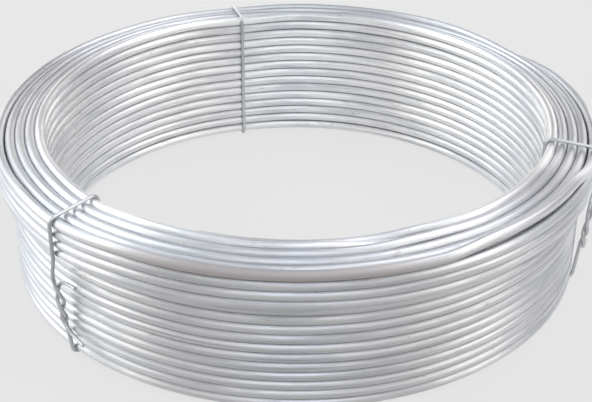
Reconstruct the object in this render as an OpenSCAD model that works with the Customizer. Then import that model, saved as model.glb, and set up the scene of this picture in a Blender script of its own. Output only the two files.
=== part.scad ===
// Coil of galvanized iron wire: one length of round wire wound in layers, lying on its
// end, and held together by three thin tie wires whose ends are twisted together.
// Millimetres. +Z is the coil's axis. The origin is on that axis, in the plane that the
// undersides of the ties lie in.

/* [Wire] */
// Diameter of the galvanized wire
wire_d = 3.8; // [3.5:0.1:4.5]

/* [Coil] */
// Diameter of the eye, across the innermost turns
eye_d = 200; // [150:1:300]
// Turns in each full layer
turns_per_layer = 15; // [12:1:20]
// Full layers, counted outward from the eye
full_layers = 4; // [3:1:6]
// Turns in the unfinished outermost layer, at the top of the coil
part_layer_turns = 4; // [2:1:5]
// Gap between neighbouring turns of the tightest layer
turn_gap = 0.06; // [0.02:0.01:0.2]
// Gap between neighbouring layers
layer_gap = 0.02; // [0:0.01:0.2]
// Height by which each full layer stands above the next one outward
crown = 0.5; // [0.2:0.1:1]
// Gap between the last full layer and the unfinished one
part_layer_gap = 0.5; // [0:0.1:1]
// How far the unfinished layer has slid down from the top of the last full layer
part_layer_drop = 0; // [0:0.1:2]

/* [Ties] */
// Diameter of the tie wires
tie_d = 1.4; // [1:0.1:1.8]
// Clearance between a tie and the turns it holds, and between its own two ends
tie_clearance = 0.1; // [0.05:0.05:0.3]
// Where the left tie goes round the coil, as an angle about +Z
tie_left_angle = 225; // [200:1:250]
// Where the back tie goes round the coil
tie_back_angle = 105; // [80:1:130]
// Where the right tie goes round the coil
tie_right_angle = 345; // [320:1:359]
// Length of the joint, from its first crossing to its last
joint_length = 15; // [10:1:20]
// Half turns of twist in the joint
joint_half_turns = 2; // [1:1:4]
// Width of the eye that the joint leaves open
joint_eye = 3; // [1:0.1:4]
// How far the free ends reach along the wall
tail_reach = 12; // [6:1:20]
// How far the free ends rise or fall before they follow the wall
tail_rise = 5; // [2:1:8]
// How far the tips of the free ends stand off the wall
tail_lift = 1.5; // [0:0.1:3]

/* [Hidden] */
ZINC = [0.80, 0.82, 0.84];
TIE_ZINC = [0.55, 0.55, 0.56];
DEGREES = 180 / PI;

// ---- Winding ----------------------------------------------------------------------

top_turn = turns_per_layer - 1;
last_layer = full_layers - 1;
layer_step = wire_d + layer_gap;
// Height of the lowest turns' centres: the ties pass under them and lie on the floor
first_height = tie_d + tie_clearance + wire_d / 2;

// Spacing of a layer's turns. The inner layers are wound more loosely, so they stand up.
function turn_step(layer) =
    wire_d + turn_gap + crown * (last_layer - min(layer, last_layer)) / top_turn;

// Centre of one turn's section, as [radius, height]
function turn_at(layer, turn) = [
    eye_d / 2 + wire_d / 2 + layer * layer_step,
    first_height + turn * turn_step(layer)
] + (layer > last_layer ? [part_layer_gap, -part_layer_drop] : [0, 0]);

lowest_part_turn = turns_per_layer - part_layer_turns;
inner_foot = turn_at(0, 0);
inner_top = turn_at(0, top_turn);
last_top = turn_at(last_layer, top_turn);
part_top = turn_at(full_layers, top_turn);
part_low = turn_at(full_layers, lowest_part_turn);
outer_foot = turn_at(last_layer, 0);

// ---- Wire coil ----------------------------------------------------------------------

// The filling between the turns stands this far out past the centres of those that show
core_cover = 0.25 * wire_d;

module turn_section(centre) {
    translate(centre) circle(d = wire_d, $fn = 48);
}

// Half of the coil's section: the turns that show, on a filling that stands for the rest
module coil_section() {
    for (turn = [0 : top_turn]) {
        turn_section(turn_at(0, turn));
        turn_section(turn_at(last_layer, turn));
    }
    for (layer = [1 : last_layer - 1], turn = [0, top_turn])
        turn_section(turn_at(layer, turn));
    for (turn = [lowest_part_turn : top_turn])
        turn_section(turn_at(full_layers, turn));
    polygon([
        inner_foot + [-core_cover, -core_cover],
        outer_foot + [core_cover, -core_cover],
        [outer_foot.x + core_cover, part_low.y],
        part_low + [core_cover, 0],
        part_top + [core_cover, core_cover],
        last_top + [0, core_cover],
        inner_top + [-core_cover, core_cover]
    ]);
}

module wire_coil() {
    color(ZINC) rotate_extrude($fn = 180) coil_section();
}

// ---- Tie wires ------------------------------------------------------------------------

// A tie is one swept wire. It starts at one free end, runs up through the joint, over the
// rim, down the eye and under the coil, and comes back up through the joint to its other
// free end. Its points are [along the wall, radius, height] until they are wrapped round
// the coil's axis. The joint lies in the middle of the straight run up the outer wall,
// and t runs down it from 0 to 1.
TIE_SIDES = 8;
BEND_STEP = 15;
LEAD_STEPS = 6;
JOINT_STEPS = 18;
TAIL_STEPS = 7;
// How much of the joint's twist is crowded towards its lower end
TWIST_BIAS = 0.4;

// Distance of a tie's centre line from the centre of a turn that it bends round
bend_r = wire_d / 2 + tie_clearance + tie_d / 2;
// Half the distance between the two strands where they cross
cross_r = (tie_d + tie_clearance) / 2;

// Outward normal of the straight run from one turn to the next, at or past a given angle
function run_normal(from, to, past = -90) =
    let (a = atan2(to.y - from.y, to.x - from.x) - 90)
    a + 360 * ceil((past - a - 1) / 360);

// Points of a bend round a turn, from one run's normal to the next one's
function bend(centre, from, to) =
    let (steps = max(1, ceil((to - from) / BEND_STEP)))
    [for (i = [0 : steps])
        let (a = from + (to - from) * i / steps)
        [0, centre.x + bend_r * cos(a), centre.y + bend_r * sin(a)]];

// The least bend, in degrees, that the tie makes round a turn
LEAST_BEND = 1;
// Whether the last full layer's top turn stands proud of a straight run over the rim
last_top_is_proud =
    run_normal(last_top, inner_top) - run_normal(part_top, last_top) > LEAST_BEND;
// The turns that the tie bends round, on its way from the outer wall back to it
bend_turns = [
    part_low, part_top, if (last_top_is_proud) last_top, inner_top, inner_foot, outer_foot
];
bend_count = len(bend_turns);
outer_normal = run_normal(outer_foot, part_low);
bend_normals = [
    for (i = 0, a = outer_normal; i <= bend_count;
         i = i + 1,
         a = run_normal(bend_turns[(i - 1) % bend_count], bend_turns[i % bend_count], a)) a
];
loop_points = [
    for (i = [0 : bend_count - 1])
        each bend(bend_turns[i], bend_normals[i], bend_normals[i + 1])
];

// The straight run up the outer wall, as [radius, height] at its ends
run_foot = outer_foot + bend_r * [cos(outer_normal), sin(outer_normal)];
run_top = part_low + bend_r * [cos(outer_normal), sin(outer_normal)];
joint_top = (run_foot.y + run_top.y + joint_length) / 2;
joint_foot = joint_top - joint_length;

function run_radius(height) =
    lookup(height, [[run_foot.y, run_foot.x], [run_top.y, run_top.x]]);

function twist(t) =
    90 + 180 * joint_half_turns * ((1 - TWIST_BIAS) * t + TWIST_BIAS * t * t);
function twist_rate(t) =
    PI * joint_half_turns * (1 - TWIST_BIAS + 2 * TWIST_BIAS * t) / joint_length;
function half_width(t) = cross_r + joint_eye / 2 * (1 - t);

// One strand of the joint: side is 1 for the strand from above and -1 for the other
function strand_stand_off(t, side) = cross_r * (1 + side * sin(twist(t)));
function strand(t, side) =
    let (height = joint_top - t * joint_length)
    [-side * half_width(t) * cos(twist(t)),
     run_radius(height) + strand_stand_off(t, side),
     height];

// How fast a strand moves along the wall as it climbs, at either end of the joint
function strand_lean(t, side) = -side * half_width(t) * sin(twist(t)) * twist_rate(t);

// The run between the joint's end at t and the bend at bend_height
function lead(t, side, bend_height) =
    let (start = strand(t, side), climb = bend_height - start.z)
    [for (i = [1 : LEAD_STEPS - 1])
        let (u = i / LEAD_STEPS,
             height = start.z + climb * u,
             off = strand_stand_off(t, side) * (1 - u * u * (3 - 2 * u)))
        [strand_lean(t, side) * climb * u * pow(1 - u, 2), run_radius(height) + off, height]];

// A free end, which leaves the joint at t and turns along the wall; rise is 1 or -1
function tail(t, side, rise) =
    let (start = strand(t, side),
         lean = strand_lean(t, side),
         reach = tail_reach * sign(lean * rise),
         bow = tail_reach / 3,
         from = [start.x, start.z],
         to = from + [reach, rise * tail_rise],
         from_grip = from + rise * bow * [lean, 1] / norm([lean, 1]),
         to_grip = to - [bow * sign(reach), 0])
    [for (i = [1 : TAIL_STEPS])
        let (u = i / TAIL_STEPS,
             p = pow(1 - u, 3) * from + 3 * u * pow(1 - u, 2) * from_grip
                 + 3 * u * u * (1 - u) * to_grip + pow(u, 3) * to)
        [p.x,
         run_radius(p.y) + strand_stand_off(t, side) + tail_lift * u * u,
         p.y]];

function reversed(list) = [for (i = [len(list) - 1 : -1 : 0]) list[i]];

tie_points = concat(
    reversed(tail(1, 1, -1)),
    [for (i = [JOINT_STEPS : -1 : 0]) strand(i / JOINT_STEPS, 1)],
    lead(0, 1, run_top.y),
    loop_points,
    reversed(lead(1, -1, run_foot.y)),
    [for (i = [JOINT_STEPS : -1 : 0]) strand(i / JOINT_STEPS, -1)],
    tail(0, -1, 1)
);

// Wraps [along the wall, radius, height] round the coil's axis, starting at an angle
function wrapped(point, angle) =
    let (a = angle + point.x / point.y * DEGREES)
    [point.y * cos(a), point.y * sin(a), point.z];

function unit(v) = v / norm(v);

// A round wire with flat ends, swept through points. Each ring's first spoke is the last
// one's, turned as little as the wire's new direction asks.
module swept_wire(points, d, sides) {
    last = len(points) - 1;
    headings = [for (i = [0 : last])
        unit(points[min(i + 1, last)] - points[max(i - 1, 0)])];
    spokes = [
        for (i = 0, v = unit(cross(headings[0], [0, 0, 1])); i <= last;
             i = i + 1,
             v = i > last ? v : unit(v - (v * headings[i]) * headings[i])) v
    ];
    corners = [for (i = [0 : last], k = [0 : sides - 1])
        let (a = 360 * k / sides)
        points[i] + d / 2 * (cos(a) * spokes[i] + sin(a) * cross(headings[i], spokes[i]))];
    walls = [for (i = [0 : last - 1], k = [0 : sides - 1])
        let (a = i * sides + k, b = i * sides + (k + 1) % sides)
        each [[a, a + sides, b], [b, a + sides, b + sides]]];
    ends = [
        [for (k = [0 : sides - 1]) k],
        [for (k = [sides - 1 : -1 : 0]) last * sides + k]
    ];
    polyhedron(corners, concat(walls, ends));
}

module tie(angle) {
    color(TIE_ZINC)
        swept_wire([for (p = tie_points) wrapped(p, angle)], tie_d, TIE_SIDES);
}

module tie_left() { tie(tie_left_angle); }
module tie_back() { tie(tie_back_angle); }
module tie_right() { tie(tie_right_angle); }

wire_coil();
tie_left();
tie_back();
tie_right();
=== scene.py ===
"""Looks of a coil of galvanized iron wire that lies on its end, held by three tie wires.

The winding is modelled as the one length of wire that it is: it starts at the top of the
eye, runs down and up through four full layers and ends in a part-wound fifth. The ties are
thin wires passed through the eye, with their ends twisted together on the outer wall.
"""

import logging
import math
from dataclasses import dataclass
from enum import Enum

import bpy
import numpy as np
from mathutils import Matrix, Vector


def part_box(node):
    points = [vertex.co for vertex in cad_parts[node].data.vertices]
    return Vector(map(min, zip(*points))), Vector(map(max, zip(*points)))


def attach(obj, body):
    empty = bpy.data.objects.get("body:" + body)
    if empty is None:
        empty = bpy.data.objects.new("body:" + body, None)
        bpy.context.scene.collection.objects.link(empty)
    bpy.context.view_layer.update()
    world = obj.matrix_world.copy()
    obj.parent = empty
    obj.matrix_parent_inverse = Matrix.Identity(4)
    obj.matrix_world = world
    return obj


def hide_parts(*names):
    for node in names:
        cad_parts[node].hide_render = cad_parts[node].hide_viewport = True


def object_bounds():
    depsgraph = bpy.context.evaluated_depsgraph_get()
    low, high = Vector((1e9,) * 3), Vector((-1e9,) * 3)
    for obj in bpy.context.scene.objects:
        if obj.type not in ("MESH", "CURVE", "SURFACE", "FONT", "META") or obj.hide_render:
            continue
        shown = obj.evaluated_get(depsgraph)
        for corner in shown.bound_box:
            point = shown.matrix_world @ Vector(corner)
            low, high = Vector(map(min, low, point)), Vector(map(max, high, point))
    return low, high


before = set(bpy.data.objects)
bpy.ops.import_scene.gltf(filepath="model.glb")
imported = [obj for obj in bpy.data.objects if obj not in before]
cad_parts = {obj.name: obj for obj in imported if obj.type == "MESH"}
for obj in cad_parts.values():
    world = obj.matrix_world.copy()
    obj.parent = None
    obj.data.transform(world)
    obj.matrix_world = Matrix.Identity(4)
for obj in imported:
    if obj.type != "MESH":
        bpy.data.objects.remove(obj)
CAD_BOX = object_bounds()

MM = 0.001
TURN = 360.0
LOG = logging.getLogger("wire_coil")

# Where each tie crosses the rim, in degrees about the coil's axis
TIE_ANGLES = {"left": 225.0, "back": 105.0, "right": 345.0}

# What a wire's vertices tell its material: their place on the straightened wire, in
# millimetres along it and across it both ways, and which way the wire runs
RUN_ATTRIBUTE = "straight_wire_mm"
HEADING_ATTRIBUTE = "wire_heading"
# And how much painted shade darkens the zinc there, as the length of a vector
PAINTED_SHADE_ATTRIBUTE = "wire_painted_shade"


# ---- Small helpers ---------------------------------------------------------------------


def srgb(hex_colour: str, alpha: float = 1.0) -> tuple[float, float, float, float]:
    """Turns an sRGB hex colour into the linear colour that a shader socket takes.

    Args:
        hex_colour: Six hex digits, with or without a leading hash.
        alpha: The fourth value of the result.

    Returns:
        Linear red, green, blue and alpha.
    """
    digits = hex_colour.lstrip("#")
    values = [int(digits[i:i + 2], 16) / 255 for i in (0, 2, 4)]
    linear = [v / 12.92 if v <= 0.04045 else ((v + 0.055) / 1.055) ** 2.4 for v in values]
    return (linear[0], linear[1], linear[2], alpha)


def ease(u: np.ndarray) -> np.ndarray:
    """Eases a share from 0 to 1, flat at both ends; what lies outside is held."""
    held = np.clip(u, 0.0, 1.0)
    return held * held * (3 - 2 * held)


def degrees_apart(angle: np.ndarray, centre: float) -> np.ndarray:
    """Signed angle from centre to angle, in degrees, between -180 and 180."""
    return (np.asarray(angle) - centre + 180.0) % TURN - 180.0


def wire_object(name: str, corners: np.ndarray, faces: list,
                fields: dict[str, np.ndarray]) -> bpy.types.Object:
    """Makes a wire's mesh object, whose vertices carry vectors for the material to read.

    Args:
        name: Name of the object and its mesh.
        corners: Vertex places in metres, one row each.
        faces: Tuples of vertex numbers.
        fields: For each attribute's name, its vector at each vertex.

    Returns:
        The new object, linked to the scene.
    """
    mesh = bpy.data.meshes.new(name)
    mesh.from_pydata(corners.tolist(), [], faces)
    for field, values in fields.items():
        mesh.attributes.new(field, "FLOAT_VECTOR", "POINT").data.foreach_set(
            "vector", np.asarray(values, dtype=np.float32).ravel())
    mesh.validate()
    mesh.shade_smooth()
    # Keeps the flat ends apart from the round wall in the shading
    mesh.set_sharp_from_angle(angle=math.radians(60.0))
    piece = bpy.data.objects.new(name, mesh)
    bpy.context.scene.collection.objects.link(piece)
    return piece


def sweep_wire(name: str, line: np.ndarray, side_hint: np.ndarray, diameter: float, sides: int,
               start_mm: float = 0.0, painted_shade_share: np.ndarray | None = None) -> bpy.types.Object:
    """Sweeps a round wire with flat sawn ends along a line.

    Args:
        name: Name of the piece.
        line: Points of the centre line in metres, one row each.
        side_hint: For each point, a direction that is never along the line.
        diameter: Wire diameter in metres.
        sides: Corners of the wire's section.
        start_mm: How far along the whole wire the line starts, in millimetres.
        painted_shade_share: For each point, how much painted shade darkens the zinc there, from 0
            to 1; none if left out.

    Returns:
        The wire as a closed mesh.
    """
    heading = np.gradient(line, axis=0)
    heading /= np.linalg.norm(heading, axis=1, keepdims=True)
    across = side_hint - np.sum(side_hint * heading, axis=1, keepdims=True) * heading
    across /= np.linalg.norm(across, axis=1, keepdims=True)
    rise = np.cross(heading, across)
    turn = np.linspace(0.0, 2 * math.pi, sides, endpoint=False)
    spokes = (np.cos(turn)[None, :, None] * across[:, None, :]
              + np.sin(turn)[None, :, None] * rise[:, None, :]) * diameter / 2
    corners = (line[:, None, :] + spokes).reshape(-1, 3)

    steps = np.linalg.norm(np.diff(line, axis=0), axis=1)
    along = start_mm + np.concatenate([[0.0], np.cumsum(steps)]) / MM
    run = np.empty((len(line), sides, 3))
    run[..., 0] = along[:, None]
    run[..., 1] = np.cos(turn)[None, :] * diameter / 2 / MM
    run[..., 2] = np.sin(turn)[None, :] * diameter / 2 / MM

    ring = np.arange(sides)
    after = (ring + 1) % sides
    first = (np.arange(len(line) - 1) * sides)[:, None]
    walls = np.stack([first + ring, first + after, first + sides + after,
                      first + sides + ring], axis=-1).reshape(-1, 4)
    last = (len(line) - 1) * sides
    ends = [tuple(reversed(ring.tolist())), tuple((last + ring).tolist())]
    # Painted shade rides in the first component of a vector attribute
    painted_shade = np.zeros_like(line)
    painted_shade[:, 0] = 0.0 if painted_shade_share is None else painted_shade_share
    fields = {RUN_ATTRIBUTE: run, HEADING_ATTRIBUTE: np.repeat(heading, sides, axis=0),
              PAINTED_SHADE_ATTRIBUTE: np.repeat(painted_shade, sides, axis=0)}
    return wire_object(name, corners, walls.tolist() + ends, fields)


# ---- Winding ---------------------------------------------------------------------------


class Way(Enum):
    """Which way a layer's turns follow each other along the coil's axis."""

    DOWN = -1
    UP = 1


@dataclass(frozen=True)
class Layer:
    """How the wire runs through one layer. Angles are in degrees about the coil's axis.

    Args:
        way: Whether its turns go down the coil or up it.
        step_at: Where the wire first steps to the next row.
        leaves_at: Where the wire leaves for the next layer out, or ends.
        drift: How much further round each step lies than the one before it.
    """

    way: Way
    step_at: float
    leaves_at: float
    drift: float = 0.0


@dataclass(frozen=True)
class Stretch:
    """A stretch of a few neighbouring rows that differs from the rest of the coil.

    Args:
        layer: Which layer, counted outward from the eye.
        rows: The lowest and the highest row.
        azimuth: Middle of the stretch, in degrees about the coil's axis.
        core: Degrees to either side over which it differs fully.
        reach: Degrees to either side by which the difference has faded out.
    """

    layer: int
    rows: tuple[int, int]
    azimuth: float
    core: float
    reach: float

    def share(self, level: np.ndarray, azimuth: np.ndarray) -> np.ndarray:
        """How much of the difference each point of the layer shows.

        Args:
            level: Row at each point, which need not be whole.
            azimuth: Angle at each point.

        Returns:
            Shares from 0 to 1.
        """
        low, high = self.rows
        off_row = ease(np.maximum(low - level, level - high))
        away = np.abs(degrees_apart(azimuth, self.azimuth))
        return (1.0 - off_row) * (1.0 - ease((away - self.core) / (self.reach - self.core)))


@dataclass(frozen=True)
class Stray(Stretch):
    """A stretch where the rows have strayed from their places.

    Args:
        rise: How far the rows have moved up, in millimetres.
        spread: How far they have moved outward, in millimetres.
    """

    rise: float = 0.0
    spread: float = 0.0


@dataclass
class WireCoil:
    """The wound wire: one round wire in full layers and one part-wound layer outside them.

    Every size is in millimetres and every angle in degrees about the coil's axis. The layers
    step from row to row at different places, so that each strand has an empty place to move
    into where the wire crosses from a row or a layer to the next one.
    """

    wire_d: float = 3.8
    eye_d: float = 200.0
    turns_per_layer: int = 15
    part_layer_turns: int = 4
    turn_gap: float = 0.06
    layer_gap: float = 0.02
    crown: float = 0.5
    part_layer_gap: float = 0.5
    layers: tuple[Layer, ...] = (
        Layer(Way.DOWN, 285.0, 270.0),
        Layer(Way.UP, 256.0, 100.0, -10.9),
        Layer(Way.DOWN, 86.0, 72.0),
        Layer(Way.UP, 58.0, 44.0),
        Layer(Way.DOWN, 30.0, 18.0),
    )
    step_length: float = 26.0
    # The inner end is tucked into the eye, under the top turn
    begins_at: float = 250.0
    tucked_until: float = 297.0
    tuck_gap: float = 0.1
    # The ties pinch the turns together, and between them the turns spring apart
    tie_angles: tuple[float, ...] = tuple(TIE_ANGLES.values())
    pinch_reach: float = 16.0
    spring_rise: float = 0.7
    # Springy wire never lies quite straight: slow waves, shared by neighbouring turns
    wave_rise: float = 0.10
    wave_spread: float = 0.08
    part_wave_spread: float = 0.16
    wave_lobes: tuple[int, ...] = (2, 3, 5, 8, 11)
    wave_tilt: float = 0.35
    wave_seed: int = 11
    # The lowest turns lie on the floor, so their waves don't lift them
    resting_rows: int = 2
    strays: tuple[Stray, ...] = ()
    # Stretches where painted shade darkens and roughens the zinc
    painted_shade_stretches: tuple[Stretch, ...] = ()
    rings_per_turn: int = 160
    wire_sides: int = 24
    # The zinc coat stands on the wire's own size
    zinc: float = 0.02

    def __post_init__(self) -> None:
        """Sets where the lowest turns lie, and how far out any may, from the solid coil."""
        low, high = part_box("wire_coil")
        self.first_height = low[2] / MM + self.wire_d / 2
        self.outer_limit = min(high[0], high[1]) / MM - self.wire_d / 2 - self.zinc
        self.top_turn = self.turns_per_layer - 1
        self.last_full = len(self.layers) - 2

    def rows(self, layer: int) -> int:
        """Number of rows in a layer."""
        return self.turns_per_layer if layer <= self.last_full else self.part_layer_turns

    def row_radius(self, layer: int) -> float:
        """Radius of a layer's centre line."""
        stand_off = self.part_layer_gap if layer > self.last_full else 0.0
        return (self.eye_d + self.wire_d) / 2 + layer * (self.wire_d + self.layer_gap) + stand_off

    def row_height(self, layer: int, level: np.ndarray) -> np.ndarray:
        """Height of a layer's centre line at a level, which need not be whole."""
        looseness = self.crown * (self.last_full - min(layer, self.last_full)) / self.top_turn
        return self.first_height + level * (self.wire_d + self.turn_gap + looseness)

    def crossing(self, angle: np.ndarray, middle: float) -> np.ndarray:
        """Share of a move that is done at each angle, for a move about a middle."""
        return ease((angle - middle) / self.step_length + 0.5)

    def freedom(self, angle: np.ndarray) -> np.ndarray:
        """How free of the ties the turns are at each angle, from 0 at a tie to 1."""
        nearest = np.min([np.abs(degrees_apart(angle, tie)) for tie in self.tie_angles], axis=0)
        return ease(nearest / self.pinch_reach)

    def wave(self, level: np.ndarray, azimuth: np.ndarray, layer: int, which: int) -> np.ndarray:
        """A slow wave round the coil that is alike in neighbouring rows.

        Args:
            level: Row at each point.
            azimuth: Angle at each point.
            layer: Which layer; each has waves of its own.
            which: Number of the wave, as each layer has one for each direction.

        Returns:
            Values between about -1 and 1.
        """
        # The two factors only keep every layer and wave on a seed of its own
        random = np.random.default_rng(self.wave_seed + 7 * layer + 101 * which)
        total = np.zeros_like(azimuth)
        for lobes in self.wave_lobes:
            phase = random.uniform(0, 2 * math.pi)
            tilt = random.uniform(-self.wave_tilt, self.wave_tilt)
            total += np.sin(np.radians(azimuth) * lobes + phase + tilt * level) / lobes ** 0.5
        return total / len(self.wave_lobes) ** 0.5

    def offsets(self, layer: int, level: np.ndarray,
                angle: np.ndarray) -> tuple[np.ndarray, np.ndarray]:
        """How far the turns of a layer lie from their even places.

        Args:
            layer: Which layer, counted outward from the eye.
            level: Row at each point.
            angle: Angle at each point.

        Returns:
            How far out and how far up, in millimetres.
        """
        spread = self.part_wave_spread if layer > self.last_full else self.wave_spread
        out = -spread * (1 + self.wave(level, angle, layer, 1)) / 2
        free = self.freedom(angle)
        lifted = ease(level / self.resting_rows)
        up = free * (self.wave_rise * self.wave(level, angle, layer, 0) * lifted
                     + self.spring_rise * level / self.top_turn)
        for stray in self.strays:
            if stray.layer == layer:
                share = stray.share(level, angle) * free
                out += stray.spread * share
                up += stray.rise * share
        return out, up

    def centre_line(self, layer: int) -> tuple[np.ndarray, np.ndarray]:
        """Points along a layer, from where the wire enters it to where it leaves.

        Args:
            layer: Which layer, counted outward from the eye.

        Returns:
            Points in metres, one row each, and how much painted shade darkens the zinc at each.
        """
        plan, part, half = self.layers[layer], layer > self.last_full, self.step_length / 2
        start = self.layers[layer - 1].leaves_at + half if layer else self.begins_at
        leaves = plan.leaves_at + TURN * self.rows(layer)
        end = leaves if part else leaves + half
        count = int(round((end - start) / TURN * self.rings_per_turn)) + 1
        angle = np.linspace(start, end, count)

        steps = [plan.step_at + TURN + k * (TURN + plan.drift)
                 for k in range(self.rows(layer) - 1)]
        first = self.top_turn if plan.way is Way.DOWN else 0
        level = first + plan.way.value * sum(self.crossing(angle, step) for step in steps)
        out, up = self.offsets(layer, level, angle)
        radius = self.row_radius(layer) + out
        height = self.row_height(layer, level) + up
        if not part:
            done = self.crossing(angle, leaves)
            out, up = self.offsets(layer + 1, level, angle)
            radius += done * (self.row_radius(layer + 1) + out - radius)
            height += done * (self.row_height(layer + 1, level) + up - height)
        if layer == 0:
            # The tucked end comes out sideways first, so that it clears the turn above it
            inside = 1.0 - self.crossing(angle, self.tucked_until)
            radius -= inside * (self.wire_d + self.tuck_gap)
            height -= inside ** 3 * self.wire_d / 2
        radius = np.minimum(radius, self.outer_limit)
        turn = np.radians(angle)
        line = np.stack([radius * np.cos(turn), radius * np.sin(turn), height], axis=1) * MM
        # Painted shade: the stretches darken the zinc where a turn stands in shade
        painted_shade = sum((stretch.share(level, angle) for stretch in self.painted_shade_stretches
                    if stretch.layer == layer), np.zeros_like(angle))
        return line, np.minimum(painted_shade, 1.0)

    def build(self) -> list[bpy.types.Object]:
        """Builds the whole wire, one piece for each layer.

        Returns:
            The pieces, from the eye outward.
        """
        pieces, along = [], 0.0
        for layer in range(len(self.layers)):
            line, painted_shade = self.centre_line(layer)
            inward = -line * np.array([1.0, 1.0, 0.0])
            pieces.append(sweep_wire(f"wire_layer_{layer + 1}", line, inward,
                                     (self.wire_d + 2 * self.zinc) * MM, self.wire_sides,
                                     along, painted_shade))
            along += np.linalg.norm(np.diff(line, axis=0), axis=1).sum() / MM
        LOG.info("wound %.1f m of wire in %d pieces", along / 1000, len(pieces))
        return pieces


# ---- Tie wires -------------------------------------------------------------------------


@dataclass
class TieWire:
    """A thin wire round the coil's section, with its ends twisted on the outer wall.

    Its points are (along the wall, radius, height) in millimetres until they are wrapped
    round the coil's axis at the tie's angle.
    """

    name: str
    angle: float
    coil: WireCoil
    diameter: float = 1.4
    # The zinc coat takes up part of the clearance that the solids leave
    clearance: float = 0.06
    joint_length: float = 15.0
    joint_half_turns: int = 2
    joint_eye: float = 3.0
    tail_reach: float = 12.0
    tail_rise: float = 5.0
    tail_lift: float = 1.5
    twist_bias: float = 0.4
    sides: int = 12
    bend_step: float = 5.0
    lead_steps: int = 24
    joint_steps: int = 60
    tail_steps: int = 24

    def __post_init__(self) -> None:
        """Works out the bends round the coil's corner turns and the straight outer run."""
        coil = self.coil
        self.bend_r = coil.wire_d / 2 + self.clearance + self.diameter / 2
        self.cross_r = (self.diameter + self.clearance) / 2
        outermost = coil.last_full + 1
        corner = [(outermost, coil.turns_per_layer - coil.part_layer_turns),
                  (outermost, coil.top_turn), (0, coil.top_turn), (0, 0), (coil.last_full, 0)]
        self.corners = [np.array([coil.row_radius(layer), float(coil.row_height(layer, level))])
                        for layer, level in corner]
        normals = [self.run_normal(self.corners[-1], self.corners[0], -90.0)]
        for i, point in enumerate(self.corners):
            after = self.corners[(i + 1) % len(self.corners)]
            normals.append(self.run_normal(point, after, normals[-1]))
        self.normals = normals
        out = self.bend_r * np.array([math.cos(math.radians(normals[0])),
                                      math.sin(math.radians(normals[0]))])
        self.run_foot, self.run_top = self.corners[-1] + out, self.corners[0] + out
        self.joint_top = (self.run_foot[1] + self.run_top[1] + self.joint_length) / 2

    @staticmethod
    def run_normal(start: np.ndarray, end: np.ndarray, past: float) -> float:
        """Outward normal of the run from one turn to the next, at or past an angle."""
        angle = math.degrees(math.atan2(end[1] - start[1], end[0] - start[0])) - 90.0
        return angle + TURN * math.ceil((past - angle - 1.0) / TURN)

    def run_radius(self, height: float) -> float:
        """Radius of the straight outer run at a height."""
        return float(np.interp(height, [self.run_foot[1], self.run_top[1]],
                               [self.run_foot[0], self.run_top[0]]))

    def loop(self) -> list[tuple[float, float, float]]:
        """Bends the tie round the winding's corner turns.

        Returns:
            Points over the rim, down the eye and under the coil.
        """
        points = []
        for centre, start, end in zip(self.corners, self.normals, self.normals[1:]):
            steps = max(1, math.ceil((end - start) / self.bend_step))
            for a in np.radians(np.linspace(start, end, steps + 1)):
                points.append((0.0, centre[0] + self.bend_r * math.cos(a),
                               centre[1] + self.bend_r * math.sin(a)))
        return points

    def twist(self, t: float) -> float:
        """Turn of the twist, in radians, at a share of the way down the joint."""
        share = (1 - self.twist_bias) * t + self.twist_bias * t * t
        return math.pi / 2 + math.pi * self.joint_half_turns * share

    def half_width(self, t: float) -> float:
        """Half the width between the joint's strands where they are side by side."""
        return self.cross_r + self.joint_eye / 2 * (1 - t)

    def stand_off(self, t: float, side: int) -> float:
        """How far a strand stands out from the straight run."""
        return self.cross_r * (1 + side * math.sin(self.twist(t)))

    def strand(self, t: float, side: int) -> tuple[float, float, float]:
        """Point of a strand of the joint: side is 1 for the one from above, -1 for the other."""
        height = self.joint_top - t * self.joint_length
        return (-side * self.half_width(t) * math.cos(self.twist(t)),
                self.run_radius(height) + self.stand_off(t, side), height)

    def lean(self, t: float, side: int) -> float:
        """How fast a strand moves along the wall as it climbs.

        Args:
            t: 0 at the joint's upper end or 1 at its lower end.
            side: Which strand.

        Returns:
            Millimetres along the wall for each millimetre of height.
        """
        rate = (1 - self.twist_bias + 2 * self.twist_bias * t) / self.joint_length
        rate *= math.pi * self.joint_half_turns
        return -side * self.half_width(t) * math.sin(self.twist(t)) * rate

    def lead(self, t: float, side: int, bend_height: float) -> list[tuple[float, float, float]]:
        """Leads a strand from an end of the joint to the bend that it comes from.

        Args:
            t: 0 for the joint's upper end or 1 for its lower end.
            side: Which strand.
            bend_height: Height at which the bend starts.

        Returns:
            Points from the joint to the bend, without either end.
        """
        start = self.strand(t, side)
        climb = bend_height - start[2]
        points = []
        for i in range(1, self.lead_steps):
            u = i / self.lead_steps
            height = start[2] + climb * u
            off = self.stand_off(t, side) * (1 - u * u * (3 - 2 * u))
            points.append((self.lean(t, side) * climb * u * (1 - u) ** 2,
                           self.run_radius(height) + off, height))
        return points

    def tail(self, t: float, side: int, rise: int) -> list[tuple[float, float, float]]:
        """Turns a strand's free end along the wall and lifts it off the turns.

        Args:
            t: 0 for the joint's upper end or 1 for its lower end.
            side: Which strand.
            rise: 1 if the end goes on upward from the joint and -1 if it goes down.

        Returns:
            Points from the joint to the cut end.
        """
        start, lean = self.strand(t, side), self.lean(t, side)
        reach = math.copysign(self.tail_reach, lean * rise)
        bow = self.tail_reach / 3
        near = np.array([start[0], start[2]])
        far = near + np.array([reach, rise * self.tail_rise])
        near_grip = near + rise * bow * np.array([lean, 1.0]) / math.hypot(lean, 1.0)
        far_grip = far - np.array([math.copysign(bow, reach), 0.0])
        points = []
        for i in range(1, self.tail_steps + 1):
            u = i / self.tail_steps
            p = ((1 - u) ** 3 * near + 3 * u * (1 - u) ** 2 * near_grip
                 + 3 * u * u * (1 - u) * far_grip + u ** 3 * far)
            points.append((p[0], self.run_radius(p[1]) + self.stand_off(t, side)
                           + self.tail_lift * u * u, p[1]))
        return points

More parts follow.
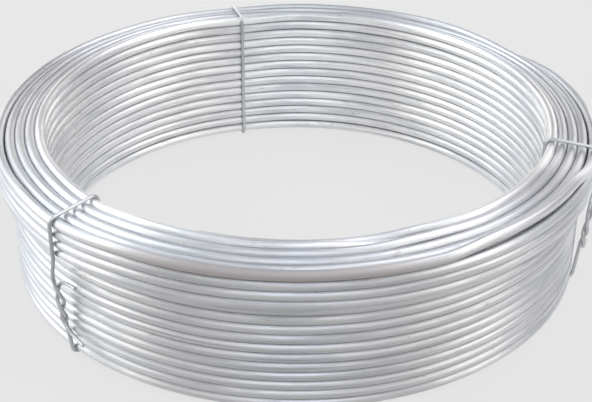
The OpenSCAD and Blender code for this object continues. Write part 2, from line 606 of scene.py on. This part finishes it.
    def build(self) -> bpy.types.Object:
        """Builds the tie as one swept wire, from one free end to the other.

        Returns:
            The tie's mesh object.
        """
        climb = [i / self.joint_steps for i in range(self.joint_steps, -1, -1)]
        points = [*reversed(self.tail(1, 1, -1)), *(self.strand(t, 1) for t in climb),
                  *self.lead(0, 1, self.run_top[1]), *self.loop(),
                  *reversed(self.lead(1, -1, self.run_foot[1])),
                  *(self.strand(t, -1) for t in climb), *self.tail(0, -1, 1)]
        wall, radius, height = np.array(points).T
        turn = math.radians(self.angle) + wall / radius
        line = np.stack([radius * np.cos(turn), radius * np.sin(turn), height], axis=1) * MM
        return sweep_wire(self.name, line, self.carried_side(line), self.diameter * MM, self.sides)

    @staticmethod
    def carried_side(line: np.ndarray) -> np.ndarray:
        """Carries a side direction along a line, turning it as little as the line turns.

        Args:
            line: Points of the line, one row each.

        Returns:
            A unit vector square to the line at each point.
        """
        heading = np.gradient(line, axis=0)
        heading /= np.linalg.norm(heading, axis=1, keepdims=True)
        side = np.cross(heading[0], [0.0, 0.0, 1.0])
        sides = []
        for step in heading:
            side = side - side.dot(step) * step
            side /= np.linalg.norm(side)
            sides.append(side)
        return np.array(sides)


# ---- Materials -------------------------------------------------------------------------


def add_node(tree: bpy.types.NodeTree, kind: str, links: dict | None = None,
             **settings: object) -> bpy.types.Node:
    """Adds a node to a tree.

    Args:
        tree: The tree that gets the node.
        kind: The node's type name.
        links: For each input, by name or number, the value or the output that feeds it.
        settings: Properties of the node itself.

    Returns:
        The new node.
    """
    node = tree.nodes.new(kind)
    for key, value in settings.items():
        setattr(node, key, value)
    for key, value in (links or {}).items():
        if isinstance(value, bpy.types.NodeSocket):
            tree.links.new(value, node.inputs[key])
        else:
            node.inputs[key].default_value = value
    return node


def new_material(name: str) -> tuple[bpy.types.Material, bpy.types.NodeTree, bpy.types.Node]:
    """Makes an empty node material.

    Args:
        name: The material's name.

    Returns:
        The material, its node tree and its output node.
    """
    material = bpy.data.materials.new(name)
    material.use_nodes = True
    tree = material.node_tree
    tree.nodes.clear()
    return material, tree, tree.nodes.new("ShaderNodeOutputMaterial")


@dataclass(frozen=True)
class Grain:
    """A noise pattern on the straightened wire that shifts the zinc towards another tone.

    Args:
        length: Size of its features along the wire, in millimetres.
        width: Their size across the wire, in millimetres.
        span: Noise values between which the pattern fades in.
        share: How far it goes towards its tone.
        tone: Its colour.
        detail: How many finer octaves it has.
    """

    length: float
    width: float
    span: tuple[float, float]
    share: float
    tone: str
    detail: float = 2.0


@dataclass(frozen=True)
class ZincedSteelWire:
    """Hot-dip galvanized low-carbon steel wire, wiped as it leaves the zinc bath.

    The wiped zinc is a bright metal with a soft gloss. Drawing and wiping leave fine marks
    along the wire, so highlights spread across it and stay crisp along it.
    """

    name: str
    bright: str = "#e2e4e7"
    roughness: float = 0.38
    clouded_roughness: float = 0.50
    anisotropy: float = 0.80
    mark_depth: float = 0.012
    # The marks are about 0.05 mm wide, too fine to show, and are drawn ten times as wide
    marks: Grain = Grain(70.0, 0.5, (0.50, 0.74), 0.50, "#9da2a8", 3.0)
    # The zinc freezes in soft clouds a few centimetres long
    clouds: Grain = Grain(28.0, 3.0, (0.42, 0.68), 0.35, "#adb3b9", 3.0)
    # Handling and the first rust-proofing oxide leave small dull spots
    spots: Grain = Grain(6.0, 2.5, (0.66, 0.78), 0.40, "#a39c94")
    # Painted shade: where a turn lacks its top highlight as if in shade, the zinc is painted a
    # darker brownish grey and made rougher
    painted_shade: str = "#c8c4c4"
    painted_shade_roughness: float = 0.55

    def make(self) -> bpy.types.Material:
        """Makes the material.

        Returns:
            The finished node material.
        """
        material, tree, output = new_material(self.name)
        place = add_node(tree, "ShaderNodeAttribute", attribute_name=RUN_ATTRIBUTE,
                         attribute_type="GEOMETRY").outputs["Vector"]
        colour, masks, noises = srgb(self.bright), [], []
        for grain in (self.marks, self.clouds, self.spots):
            scale = (1 / grain.length, 1 / grain.width, 1 / grain.width)
            scaled = add_node(tree, "ShaderNodeVectorMath", {0: place, 1: scale},
                              operation="MULTIPLY")
            noises.append(add_node(tree, "ShaderNodeTexNoise", {
                "Vector": scaled.outputs[0], "Scale": 1.0, "Detail": grain.detail,
                "Roughness": 0.55}, noise_dimensions="3D").outputs["Fac"])
            masks.append(add_node(tree, "ShaderNodeMapRange", {
                "Value": noises[-1], "From Min": grain.span[0], "From Max": grain.span[1],
                "To Min": 0.0, "To Max": grain.share},
                interpolation_type="SMOOTHSTEP").outputs["Result"])
            colour = add_node(tree, "ShaderNodeMix", {"Factor": masks[-1], 6: colour,
                              7: srgb(grain.tone)}, data_type="RGBA").outputs[2]
        rough = add_node(tree, "ShaderNodeMapRange", {
            "Value": masks[1], "From Min": 0.0, "From Max": self.clouds.share,
            "To Min": self.roughness, "To Max": self.clouded_roughness}).outputs["Result"]
        # Painted shade: darker, rougher zinc along the stretches where a turn stands in shade
        painted_shade_share = add_node(tree, "ShaderNodeAttribute", attribute_name=PAINTED_SHADE_ATTRIBUTE,
                            attribute_type="GEOMETRY").outputs["Vector"]
        painted_shade_share = add_node(tree, "ShaderNodeVectorMath", {0: painted_shade_share},
                            operation="LENGTH").outputs["Value"]
        colour = add_node(tree, "ShaderNodeMix", {"Factor": painted_shade_share, 6: colour,
                          7: srgb(self.painted_shade)}, data_type="RGBA").outputs[2]
        rough = add_node(tree, "ShaderNodeMix", {"Factor": painted_shade_share, 2: rough,
                         3: self.painted_shade_roughness}, data_type="FLOAT").outputs[0]
        bump = add_node(tree, "ShaderNodeBump", {"Height": noises[0], "Strength": 0.6,
                        "Distance": self.mark_depth * MM}).outputs["Normal"]
        heading = add_node(tree, "ShaderNodeAttribute", attribute_name=HEADING_ATTRIBUTE,
                           attribute_type="GEOMETRY").outputs["Vector"]
        shader = add_node(tree, "ShaderNodeBsdfPrincipled", {
            "Base Color": colour, "Metallic": 1.0, "Roughness": rough, "Normal": bump,
            "Anisotropic": self.anisotropy, "Anisotropic Rotation": 0.25, "Tangent": heading})
        tree.links.new(shader.outputs["BSDF"], output.inputs["Surface"])
        return material


def dress(piece: bpy.types.Object, material: bpy.types.Material, node: str) -> None:
    """Gives a piece its material and its place in the object.

    Args:
        piece: The mesh object.
        material: What it is made of.
        node: The solid that it stands for.
    """
    piece.data.materials.append(material)
    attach(piece, "root")
    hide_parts(node)
    LOG.info("%s: %d faces", piece.name, len(piece.data.polygons))


# ---- Stage -----------------------------------------------------------------------------


@dataclass(frozen=True)
class Softbox:
    """A bright or dark stretch of the studio round the coil.

    Args:
        azimuth: Where it stands, in degrees about +Z.
        elevation: Its middle's height above the horizon, in degrees.
        core: Half the angle over which it is at full strength.
        edge: Half the angle at which it has faded out.
        strength: What it adds to the studio's level; below zero it is a dark stretch.
        tint: Its colour.
    """

    azimuth: float
    elevation: float
    core: float
    edge: float
    strength: float
    tint: str = "#ffffff"

    def direction(self) -> Vector:
        """Unit vector from the coil to the middle of the softbox."""
        a, e = math.radians(self.azimuth), math.radians(self.elevation)
        return Vector((math.cos(a) * math.cos(e), math.sin(a) * math.cos(e), math.sin(e)))


@dataclass
class Studio:
    """Pale floor, studio light and camera."""

    pale: str = "#e6e6e6"
    floor_half: float = 3.0
    floor_calm: float = 0.9
    floor_glow: float = 0.5
    # Towards the camera the wire mirrors a darker floor, past the edge of the pale paper
    dark_floor: str = "#b4b1af"
    paper_edge: tuple[float, float] = (-150.0, -85.0)
    level: float = 0.47
    level_tint: str = "#fff9f7"
    softboxes: tuple[Softbox, ...] = (
        # Broad lights to the left and the right of the coil
        Softbox(182, 20, 12, 42, 1.45, "#fffdf6"),
        Softbox(150, 24, 6, 30, 0.60, "#deeefc"),
        Softbox(338, 24, 8, 28, 1.35, "#fff8ee"),
        # A small bright one above the camera draws the line along the front turns, with a
        # fill on either side of it
        Softbox(270, 54, 3, 20, 1.75, "#e6f0fc"),
        Softbox(244, 30, 6, 24, 0.65),
        Softbox(296, 30, 6, 24, 0.65),
        # Overhead the studio is a little bluer, and behind the coil it is darker
        Softbox(270, 82, 10, 36, 0.10, "#a9cdf8"),
        Softbox(90, 45, 8, 30, -0.44),
        # High lights at the back brighten the rim, and low ones its far left and right
        Softbox(146, 55, 8, 28, 1.80, "#e6f2ff"),
        Softbox(28, 60, 10, 30, 2.10, "#f4f8ff"),
        Softbox(118, 4, 14, 34, 0.95),
        Softbox(62, 4, 14, 34, 0.95),
    )
    focal_mm: float = 76.0
    sensor_mm: float = 36.0
    camera_back: float = 453.0
    camera_up: float = 282.2
    camera_pitch: float = 30.23
    camera_roll: float = 0.27

    def build_camera(self) -> None:
        """Makes the camera and sets it as the scene's own."""
        data = bpy.data.cameras.new("camera")
        data.sensor_width, data.lens = self.sensor_mm, self.focal_mm
        data.clip_start, data.clip_end = 0.01, 50.0
        camera = bpy.data.objects.new("camera", data)
        bpy.context.scene.collection.objects.link(camera)
        turn = (Matrix.Rotation(math.radians(90.0 - self.camera_pitch), 4, "X")
                @ Matrix.Rotation(math.radians(self.camera_roll), 4, "Z"))
        camera.matrix_world = Matrix.Translation(
            (0.0, -self.camera_back * MM, self.camera_up * MM)) @ turn
        bpy.context.scene.camera = camera

    def build_world(self) -> None:
        """Makes the studio that the wire mirrors; the camera sees it as one pale tone."""
        world = bpy.data.worlds.new("studio")
        bpy.context.scene.world = world
        world.use_nodes = True
        tree = world.node_tree
        tree.nodes.clear()
        way = add_node(tree, "ShaderNodeTexCoord").outputs["Generated"]
        way = add_node(tree, "ShaderNodeVectorMath", {0: way}, operation="NORMALIZE").outputs[0]
        total = add_node(tree, "ShaderNodeRGB").outputs[0]
        total.default_value = [self.level * v for v in srgb(self.level_tint)]
        for box in self.softboxes:
            dot = add_node(tree, "ShaderNodeVectorMath", {0: way, 1: box.direction()},
                           operation="DOT_PRODUCT").outputs["Value"]
            lobe = add_node(tree, "ShaderNodeMapRange", {
                "Value": dot, "From Min": math.cos(math.radians(box.edge)),
                "From Max": math.cos(math.radians(box.core)), "To Min": 0.0,
                "To Max": abs(box.strength)}, interpolation_type="SMOOTHSTEP").outputs["Result"]
            lit = add_node(tree, "ShaderNodeVectorMath", {0: srgb(box.tint)[:3], "Scale": lobe},
                           operation="SCALE").outputs[0]
            join = "ADD" if box.strength > 0 else "SUBTRACT"
            total = add_node(tree, "ShaderNodeVectorMath", {0: total, 1: lit},
                             operation=join).outputs[0]
        seen = add_node(tree, "ShaderNodeLightPath").outputs["Is Camera Ray"]
        colour = add_node(tree, "ShaderNodeMix", {"Factor": seen, 6: total, 7: srgb(self.pale)},
                          data_type="RGBA").outputs[2]
        light = add_node(tree, "ShaderNodeBackground", {"Color": colour, "Strength": 1.0})
        add_node(tree, "ShaderNodeOutputWorld", {"Surface": light.outputs[0]})

    def build_floor(self) -> None:
        """Makes the pale floor, which keeps a faint shadow of the coil."""
        size, height = self.floor_half, CAD_BOX[0][2]
        mesh = bpy.data.meshes.new("floor")
        mesh.from_pydata([(-size, -size, height), (size, -size, height), (size, size, height),
                          (-size, size, height)], [], [(0, 1, 2, 3)])
        floor = bpy.data.objects.new("floor", mesh)
        bpy.context.scene.collection.objects.link(floor)
        material, tree, output = new_material("pale_studio_floor")
        seen = add_node(tree, "ShaderNodeLightPath").outputs["Is Camera Ray"]
        place = add_node(tree, "ShaderNodeTexCoord").outputs["Object"]
        place = add_node(tree, "ShaderNodeSeparateXYZ", {0: place}).outputs["Y"]
        paper = add_node(tree, "ShaderNodeMapRange", {
            "Value": place, "From Min": self.paper_edge[0] * MM,
            "From Max": self.paper_edge[1] * MM},
            interpolation_type="SMOOTHSTEP").outputs["Result"]
        paper = add_node(tree, "ShaderNodeMath", {0: paper, 1: seen},
                         operation="MAXIMUM").outputs[0]
        colour = add_node(tree, "ShaderNodeMix", {"Factor": paper, 6: srgb(self.dark_floor),
                          7: srgb(self.pale)}, data_type="RGBA").outputs[2]
        matt = add_node(tree, "ShaderNodeBsdfDiffuse", {"Color": colour})
        calm = add_node(tree, "ShaderNodeEmission", {"Color": colour, "Strength": 1.0})
        glow = add_node(tree, "ShaderNodeMath", {0: paper, 1: self.floor_glow},
                        operation="MULTIPLY").outputs[0]
        share = add_node(tree, "ShaderNodeMapRange", {
            "Value": seen, "To Min": glow, "To Max": self.floor_calm}).outputs["Result"]
        both = add_node(tree, "ShaderNodeMixShader", {0: share, 1: matt.outputs[0],
                        2: calm.outputs[0]})
        tree.links.new(both.outputs[0], output.inputs["Surface"])
        mesh.materials.append(material)

    def build(self) -> None:
        """Makes the whole stage."""
        self.build_camera()
        self.build_world()
        self.build_floor()
        bpy.context.scene.view_settings.view_transform = "Standard"


# ---- The whole object ------------------------------------------------------------------

# Where turns have come loose or been squeezed together on this coil
STRAYS = (
    # At the front the part-wound layer is squeezed upward, so that it overhangs the wall
    Stray(4, (14, 14), 255.0, 39.0, 51.0, 0.75),
    Stray(4, (13, 13), 280.0, 50.0, 72.0, 0.80),
    Stray(4, (12, 12), 280.0, 50.0, 72.0, 0.85),
    Stray(4, (11, 11), 280.0, 50.0, 72.0, 0.90),
    # Towards the right its top turn has climbed on to its neighbour's shoulder
    Stray(4, (14, 14), 318.0, 12.0, 24.0, 2.05, -1.15),
    # The inner layers' top turns stand a little proud of the outer ones at the front
    Stray(0, (14, 14), 275.0, 55.0, 75.0, 0.4),
    Stray(1, (14, 14), 275.0, 55.0, 75.0, 0.4),
    Stray(2, (14, 14), 275.0, 55.0, 75.0, -0.1),
    # Where the inner end comes out of its tuck its neighbours bulge into the free place
    Stray(1, (14, 14), 295.0, 2.0, 13.0, 0.0, -1.2),
    Stray(2, (14, 14), 295.0, 2.0, 14.0, 0.0, -0.6),
    # Low on the right the last full layer has sprung open, and the turns above the gap are
    # pressed closer together
    Stray(3, (8, 9), 318.0, 12.0, 48.0, 0.30),
    Stray(3, (10, 11), 318.0, 12.0, 48.0, 0.18),
    Stray(3, (12, 13), 318.0, 12.0, 48.0, 0.06),
    # At the back of the eye all turns but the lowest have sprung up, the top two the most
    Stray(0, (1, 14), 80.0, 50.0, 90.0, 0.3),
    Stray(0, (13, 14), 80.0, 50.0, 80.0, 0.1),
    Stray(0, (12, 12), 80.0, 50.0, 80.0, -0.08),
)

# Painted shade on the top outer turn at the front: darker, rougher zinc that stands in for the
# shade that hides its top highlight
PAINTED_SHADE_STRETCHES = (Stretch(4, (14, 14), 266.0, 12.0, 36.0),)


def main() -> None:
    """Builds the stage, the wound wire and the ties, and dresses each piece."""
    logging.basicConfig(level=logging.INFO, format="%(name)s: %(message)s")
    Studio().build()
    coil = WireCoil(strays=STRAYS, painted_shade_stretches=PAINTED_SHADE_STRETCHES)
    # A lit copy of the zinc, painted light for the eye's wall
    painted_light_zinc = ZincedSteelWire("hot_dip_galvanized_wire_painted_light", bright="#f8f9fa").make()
    outer_layers_zinc = ZincedSteelWire("hot_dip_galvanized_wire").make()
    for layer, piece in enumerate(coil.build()):
        # The innermost layer gets a lighter copy of the zinc, painted light that brightens the
        # wall of the eye
        dress(piece, outer_layers_zinc if layer else painted_light_zinc, "wire_coil")
    tie_zinc = ZincedSteelWire("galvanized_tie_wire", bright="#d6d8da").make()
    for name, angle in TIE_ANGLES.items():
        piece = TieWire(f"tie_wire_{name}", angle, coil).build()
        dress(piece, tie_zinc, f"tie_{name}")


if __name__ == "__main__":
    main()
